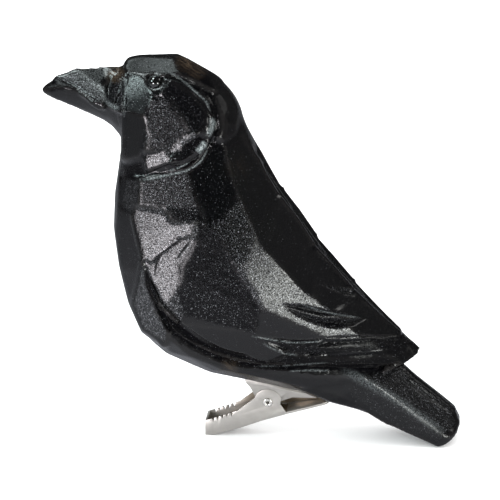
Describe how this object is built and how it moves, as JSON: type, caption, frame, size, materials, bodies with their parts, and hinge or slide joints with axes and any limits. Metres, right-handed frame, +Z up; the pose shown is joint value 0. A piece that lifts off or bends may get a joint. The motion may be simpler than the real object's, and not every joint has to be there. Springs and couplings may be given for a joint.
{
  "type": "carved wooden raven ornament on a clip",
  "caption": "Standing raven carved in wood with flat knife cuts, lacquered black, with bead eyes and a small toothed spring clip under the belly.",
  "frame": {"origin": "on the standing surface, under the middle of the overall box", "axes": "+Z up; the beak points to -X and the tail to +X; the bird is the same on both sides of y = 0, with its left side towards -Y"},
  "size_m": [0.0932, 0.0326, 0.0864],
  "materials": {
    "black_lacquer": "knife-cut wood under glossy black lacquer, worn brown on a few edges",
    "eye_bead": "polished",
    "nickel_sheet": "satin nickel plate",
    "nickel_rivet": "bright nickel plate",
    "spring_wire": "plain wire"
  },
  "bodies": {
    "raven": {"raven_body": "black_lacquer", "left_eye": "eye_bead", "right_eye": "eye_bead", "clip_upper": "nickel_sheet", "clip_rivet": "nickel_rivet", "clip_spring": "spring_wire"},
    "toothed_half": {"clip_lower": "nickel_sheet"}
  },
  "joints": [
    {"name": "clip_hinge", "type": "hinge", "parent": "raven", "child": "toothed_half", "pos_m": [0.00345, 0, 0.0083], "axis": [0, 1, 0], "range_deg": [0, 22], "stiffness_Nm_per_rad": 0.02, "springref_deg": -57.3, "deforming": ["clip_spring"]}
  ]
}
